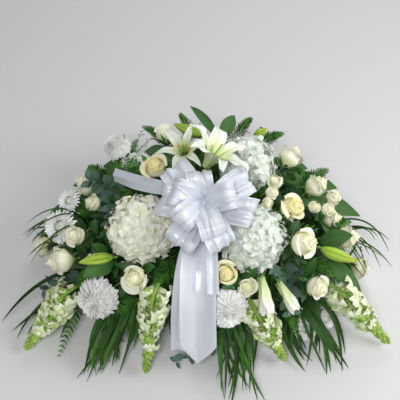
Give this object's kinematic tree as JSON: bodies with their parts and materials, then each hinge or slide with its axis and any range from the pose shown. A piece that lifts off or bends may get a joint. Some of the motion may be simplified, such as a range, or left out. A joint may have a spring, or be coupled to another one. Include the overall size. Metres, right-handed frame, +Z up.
{
  "type": "flower spray arrangement",
  "caption": "Wide mound of white and cream blooms, buds and greenery with a large satin bow and hanging ribbon tails, in a shallow tray of floral foam.",
  "frame": {"origin": "middle of the tray's underside, on which the arrangement rests", "axes": "+Z up out of the tray, +X along its length to the right of the bow, -Y to the front over which the ribbon tails hang"},
  "size_m": [0.8655, 0.6507, 0.3732],
  "materials": {
    "tray": "matte",
    "foam": "matte, open-celled",
    "pick": "dyed green, matte",
    "ribbon": "satin weave",
    "hydrangea": "soft, thin petals",
    "rose": "soft, velvety petals",
    "mum": "soft, smooth petals",
    "lily": "soft, waxy petals",
    "snapdragon": "soft, velvety petals",
    "lily_leaf": "waxy leaf",
    "fern": "leathery leaf",
    "eucalyptus": "matte, bloomed leaf",
    "grass": "smooth leaf"
  },
  "bodies": {
    "root": {"holder_tray": "tray", "floral_foam": "foam", "bow_pick": "pick", "ribbon_bow": "ribbon", "hydrangea_1": "hydrangea", "hydrangea_2": "hydrangea", "hydrangea_3": "hydrangea", "hydrangea_4": "hydrangea", "rose_01": "rose", "rose_02": "rose", "rose_03": "rose", "rose_04": "rose", "rose_05": "rose", "rose_06": "rose", "rose_07": "rose", "rose_08": "rose", "rose_09": "rose", "rose_10": "rose", "rose_11": "rose", "rose_12": "rose", "rose_13": "rose", "rose_14": "rose", "rose_15": "rose", "rose_16": "rose", "rose_17": "rose", "rose_18": "rose", "rose_19": "rose", "rose_20": "rose", "spray_rose_left": "rose", "spray_rose_right": "rose", "mum_1": "mum", "mum_2": "mum", "mum_3": "mum", "mum_4": "mum", "mum_5": "mum", "mum_6": "mum", "lily_1": "lily", "lily_2": "lily", "lily_trumpets": "lily", "snapdragon_1": "snapdragon", "snapdragon_2": "snapdragon", "snapdragon_3": "snapdragon", "snapdragon_4": "snapdragon", "lily_bud_left": "lily_leaf", "lily_bud_right": "lily_leaf", "lily_bud_top_left": "lily_leaf", "lily_bud_top_right": "lily_leaf", "lily_leaves_top": "lily_leaf", "fern_left": "fern", "fern_right": "fern", "fern_front": "fern", "fern_back": "fern", "eucalyptus_left": "eucalyptus", "eucalyptus_right": "eucalyptus", "lily_grass_left": "grass", "lily_grass_far_left": "grass", "lily_grass_centre": "grass", "lily_grass_right": "grass", "bear_grass_left": "grass", "bear_grass_right": "grass"}
  },
  "joints": []
}
